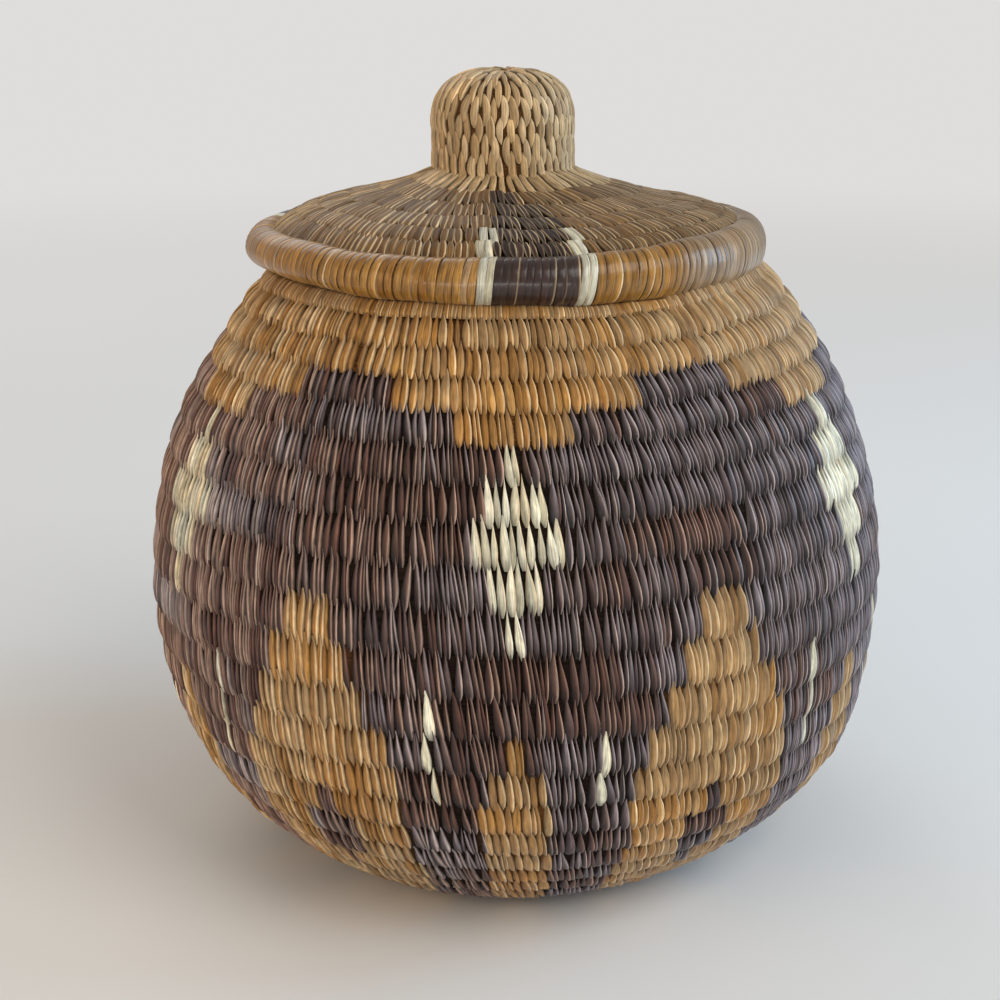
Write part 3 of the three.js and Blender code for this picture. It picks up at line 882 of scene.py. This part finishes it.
def grass_material():
    """The bundle of grass under the strips: fine stalks round the coil, some near-black as painted shade."""
    material, tree, shader = new_material("grass_core")
    stalks = tree.noise(tree.scaled(tree.attribute("strip", "Vector"), (3, 0.05, 1)), 1.0, 4)
    shade = tree.brightened(tree.attribute("palm_color", "Color"), tree.spread(stalks, 0.4, 1.7))
    tree.feed(shader, {"Base Color": shade, "Roughness": tree.spread(stalks, 0.95, 0.75),
                       "Specular IOR Level": 0.1, "Normal": tree.relief(stalks, 0.6, 0.0004)})
    return material


SKY = (0.88, 0.87, 1.0)  # tint of the sheen
palms = {
    "tan_palm": palm_material("tan_palm", 0.42, 0.62, 0.08, SKY),
    "dark_palm": palm_material("dark_palm", 0.34, 0.54, 0.16, SKY),
    "mixed_palm": palm_material("mixed_palm", 0.38, 0.58, 0.12, SKY),
    "pale_palm": palm_material("pale_palm", 0.44, 0.64, 0.06, SKY),
    "gold_palm": palm_material("gold_palm", 0.28, 0.42, 0.05, (1, 0.93, 0.82), coat=0.4, relief=0.12),
}
grass = grass_material()

record = frame["record"]
body_of_node = {node: body for body, members in record["behaviour"]["bodies"].items() for node in members}
slot_of_node = {part["node"]: part["material_slot"] for part in record["subparts"]}


def sew_coil(coil, inner_rows, style_of, name_of, pattern, seed):
    """Sews a coil turn by turn. The first turn and the last are thinned. Rows count from the inner rows."""
    for turn, fractions in stitch_rows(coil, style_of, seed).items():
        row = turn - inner_rows + 1
        node = name_of(turn, row)
        start = TAPER_END - 1 if turn < 0 else turn
        end = turn + 1 - (TAPER_END if turn == coil.rows - 1 else 0)
        kinds_at = lambda angle: pattern(row, angle)
        piece = Piece()
        add_core(piece, coil, start, end, kinds_at)
        turn_seed = 100 * coil.rows + turn + 1
        add_stitches(piece, coil, turn, fractions, style_of(turn), kinds_at, start, end, turn_seed)
        make_object(piece, node)


def basket_style(turn):
    if turn == basket_coil.rows - 1:
        return RIM_STYLE
    return SHOULDER_STYLE if turn - BASE_ROWS + 1 >= SHOULDER_ROW else WALL_STYLE


def basket_name(turn, row):
    if row <= 0:
        return f"base_coil_{turn + 1:02d}"
    return f"wall_coil_{row:02d}" if row < WALL_ROWS else "rim_coil"


def lid_style(turn):
    if turn == lid_coil.rows - 1:
        return LID_EDGE_STYLE
    return KNOB_STYLE if turn < KNOB_ROWS else LID_STYLE


def lid_name(turn, row):
    return f"knob_coil_{turn + 1:02d}" if row <= 0 else f"lid_coil_{row:02d}"


sew_coil(basket_coil, BASE_ROWS, basket_style, basket_name, basket_pattern, BASKET_SEED)
sew_coil(lid_coil, KNOB_ROWS, lid_style, lid_name, lid_pattern, LID_SEED)

RING_SECTION = 28  # facets of a ring's grass round its section
RING_STEPS = 120   # and round the ring


def wound_ring(node, radius, height, half_width, half_height, pitch, crown, kinds_at, corner=2.0):
    """A ring of grass wound close with flat strips, each once round its section, on a slant of two strips.

    Its section is an ellipse where the corner is 2, and squarer where that is more.
    """
    count = round(TAU * radius / pitch)
    rng = np.random.default_rng(len(node) * 7)
    piece = Piece()

    def section(around, depth):
        """Radius and height on the section, from the inside round by the bottom."""
        c, s = -np.cos(around * TAU), -np.sin(around * TAU)
        size = (np.abs(c) ** corner + np.abs(s) ** corner) ** (-1 / corner)
        return radius + (half_width - depth) * c * size, height + (half_height - depth) * s * size

    around = np.linspace(0, 1, RING_SECTION + 1)
    angle = np.linspace(0, 1, RING_STEPS + 1)[:, None] * TAU
    r, z = section(np.broadcast_to(around[:-1], (RING_STEPS + 1, RING_SECTION)), crown + 0.2)
    core = handmade(r, z, angle, LID_SHIFT)
    strip = np.stack([around[:-1] * 12 + 0 * r, angle * radius + 0 * r, 0 * r], axis=-1)
    piece.add(core[None], strip[None], GRASS, closed=True, core=True)

    q = around[None, :, None]
    u = ACROSS[None, None, :]
    number = np.arange(count)[:, None, None]
    each = lambda low, high: rng.uniform(low, high, (count, 1, 1))
    at = number / count * TAU
    wave = 0.5 * np.sin(6 * at) + 0.3 * np.sin(2 * at + 4.1) + rng.normal(0, 0.06, (count, 1, 1))
    wander = each(-0.14, 0.14) * np.sin(q * TAU * 2 + each(0, 6))
    turn = (number + wave + wander + 2 * (q - 0.5) + u * 0.5 * each(0.98, 1.12)) / count
    tilt = rng.normal(0.02, 0.035, (count, 1, 1))
    depth = crown - np.where(ARCH < 0, -0.25, crown * each(0.7, 1.1) * ARCH[None, None, :] + tilt * u)
    r, z = section(q * np.ones_like(turn), depth)
    points = handmade(r, z, turn * TAU, LID_SHIFT)
    degrees = np.degrees(number[:, 0, 0] / count * TAU)
    color = strip_colors(around, ACROSS, kinds_at(degrees), patchiness(degrees, 3), ROLL_STYLE, rng)
    strip = on_strips(u, q * TAU * half_height * np.ones_like(turn), rng)
    piece.add(points, strip, color, flip=True)
    make_object(piece, node)


wound_ring("lid_rim_roll", roll_middle - ROLL_SLIM, roll_height - ROLL_SLIM / 2, roll_radius - ROLL_SLIM,
           roll_radius - ROLL_SLIM / 2, 2.04, 0.12, lambda angle: lid_pattern(ROLL_ROW, angle))

collar_belly = COLLAR_TOP - COLLAR_COIL_HEIGHT / 2
collar_outside = roll_middle - math.sqrt(roll_reach**2 - collar_belly**2)
for i in range(COLLAR_COILS):
    middle = roll_height + COLLAR_TOP - i * (COLLAR_COIL_HEIGHT + SEAM_GAP) - COLLAR_COIL_HEIGHT / 2
    wound_ring(f"lid_collar_coil_{i + 1}", collar_outside - COLLAR_WALL / 2, middle, COLLAR_WALL / 2,
               COLLAR_COIL_HEIGHT / 2, 2.3, 0.2, lambda angle: np.full(len(angle), "tan", dtype=object), 2.6)


KNOT_STEPS = 19  # points over a knot, from the middle of one face to the middle of the other
KNOT_SIDES = 48


def start_knot(node, coil, kind, strips):
    """The wrapped disc that a coil starts from: strips laid from the middle to the rim and back."""
    piece = Piece()
    rng = np.random.default_rng(strips + len(node))
    rim = coil.start + 0.3
    dip = 1.3 * CROWN_DIP if coil.inside < 0 else 0
    z = coil.at(0.5)[1]
    q = np.linspace(0, 1, KNOT_STEPS)

    def outline(depth, flatness):
        around = (q - 0.5)[:, None] * math.pi
        out = np.cos(around) ** flatness
        return np.maximum((rim - depth) * out, 0.25), np.sin(around) * (coil.wall / 2 * 0.94 - dip - depth)

    r, up = outline(np.full((KNOT_STEPS, KNOT_SIDES), 0.35), 0.4)
    angle = np.broadcast_to(np.linspace(0, TAU, KNOT_SIDES + 1)[:-1], r.shape)
    core = handmade(r, z + up, angle, coil.shift)
    strip = np.stack([angle, up, 0 * r], axis=-1)
    piece.add(core[None], strip[None], GRASS, closed=True, core=True)
    u = ACROSS[None, None, :]
    number = np.arange(strips)[:, None, None]
    depth = 0.2 - np.where(ARCH < 0, -0.35, 0.2 * ARCH)[None, None, :] * np.ones((strips, KNOT_STEPS, 1))
    r, up = outline(depth, 0.4)
    turn = (number + 0.5 * u * 1.04 + 0.6 * np.sin((q - 0.5) * math.pi)[None, :, None]) / strips * TAU
    points = handmade(r, z + up, turn, coil.shift)
    kinds = np.full(strips, kind, dtype=object)
    color = strip_colors(q, ACROSS, kinds, np.zeros(strips), ROLL_STYLE, rng)
    piece.add(points, on_strips(u, up, rng), color)
    make_object(piece, node)


start_knot("base_start_knot", basket_coil, "dark", 14)
start_knot("knob_start_knot", lid_coil, "fair", 12)


# Floor, light and camera
BACKDROP = (0.735, 0.725, 0.71, 1)
FLOOR_REACH = 30  # metres


def stage_floor():
    """A pale floor that keeps the shadow, and that the camera sees as an even pale tone farther off."""
    mesh = bpy.data.meshes.new("floor")
    corners = [(x * FLOOR_REACH, y * FLOOR_REACH, 0) for x, y in ((-1, -1), (1, -1), (1, 1), (-1, 1))]
    mesh.from_pydata(corners, [], [(0, 1, 2, 3)])
    floor = bpy.data.objects.new("floor", mesh)
    bpy.context.scene.collection.objects.link(floor)
    material, tree, shader = new_material("pale_floor")
    spot = tree.add("ShaderNodeTexCoord", {})["Object"]
    soft = tree.noise(spot, 3, 2)
    tones = {"Red": 0.8, "Green": 0.8, "Blue": 0.79}
    channels = {name: tree.spread(soft, low, low + 0.02) for name, low in tones.items()}
    shade = tree.add("ShaderNodeCombineColor", channels)["Color"]
    tree.feed(shader, {"Base Color": shade, "Roughness": 0.9})
    distance = tree.add("ShaderNodeVectorMath", {0: spot}, operation="LENGTH")["Value"]
    far_off = tree.spread(distance, 0, 1, 0.2, 1.8, interpolation_type="SMOOTHSTEP")
    camera_ray = tree.add("ShaderNodeLightPath", {})["Is Camera Ray"]
    seen = tree.add("ShaderNodeMath", {0: far_off, 1: camera_ray}, operation="MULTIPLY")["Value"]
    pale = tree.add("ShaderNodeEmission", {"Color": BACKDROP})["Emission"]
    blend = tree.add("ShaderNodeMixShader", {"Fac": seen, 1: shader.outputs["BSDF"], 2: pale})
    tree.feed(tree.nodes["Material Output"], {"Surface": blend["Shader"]})
    mesh.materials.append(material)


def stage_world():
    """Even light from all round, and a pale backdrop wherever the camera looks past the floor."""
    world = bpy.data.worlds.new("studio")
    bpy.context.scene.world = world
    tree = Tree(world)
    tree.nodes.clear()
    light = tree.add("ShaderNodeBackground", {"Color": (1, 0.96, 0.91, 1), "Strength": 0.42})["Background"]
    backdrop = tree.add("ShaderNodeBackground", {"Color": BACKDROP})["Background"]
    path = tree.add("ShaderNodeLightPath", {})
    rays = {0: path["Is Camera Ray"], 1: path["Is Transmission Ray"]}
    seen = tree.add("ShaderNodeMath", rays, operation="MAXIMUM")["Value"]
    shown = tree.add("ShaderNodeMixShader", {"Fac": seen, 1: light, 2: backdrop})
    tree.add("ShaderNodeOutputWorld", {"Surface": shown["Shader"]})


def softbox(name, spot, power, size, color, target=(0, 0, 0.11)):
    """A soft lamp that faces the middle of the basket."""
    lamp = bpy.data.lights.new(name, "AREA")
    lamp.energy = power
    lamp.shape = "RECTANGLE"
    lamp.size, lamp.size_y = size
    lamp.color = color
    obj = bpy.data.objects.new(name, lamp)
    obj.location = spot
    obj.rotation_euler = (Vector(target) - Vector(spot)).to_track_quat("-Z", "Y").to_euler()
    bpy.context.scene.collection.objects.link(obj)


def stage_camera():
    """The photograph's view: just over half a metre away, from a little above, on a long lens."""
    camera = bpy.data.cameras.new("camera")
    camera.sensor_width = 36
    camera.lens = 63
    camera.clip_start = 0.01
    camera.clip_end = 100
    obj = bpy.data.objects.new("camera", camera)
    obj.location = (0, -0.5155, 0.2586)
    look_down, look_left, roll = math.radians(16.93), math.radians(0.53), math.radians(-0.26)
    aim = Euler((math.radians(90) - look_down, 0, look_left), "XYZ").to_matrix()
    obj.rotation_euler = (aim @ Euler((0, 0, roll), "XYZ").to_matrix()).to_euler()
    bpy.context.scene.collection.objects.link(obj)
    bpy.context.scene.camera = obj


stage_floor()
stage_world()
softbox("key_light", (0.8, -0.8, 1.1), 8.5, (0.9, 0.9), (1, 0.97, 0.92))
softbox("fill_light", (-1.1, -0.75, 0.5), 4.3, (0.9, 0.7), (1, 0.69, 0.38))
softbox("window_light", (1.2, 0.15, 0.5), 8.8, (0.6, 0.9), (0.42, 0.7, 1))
softbox("back_light", (-0.5, 1.0, 1.0), 3.5, (0.9, 0.9), (0.95, 0.97, 1))
softbox("low_light", (-0.1, -1.1, 0.1), 2.6, (1.2, 0.1), (1, 0.98, 0.95))
stage_camera()
bpy.context.scene.view_settings.view_transform = "Standard"
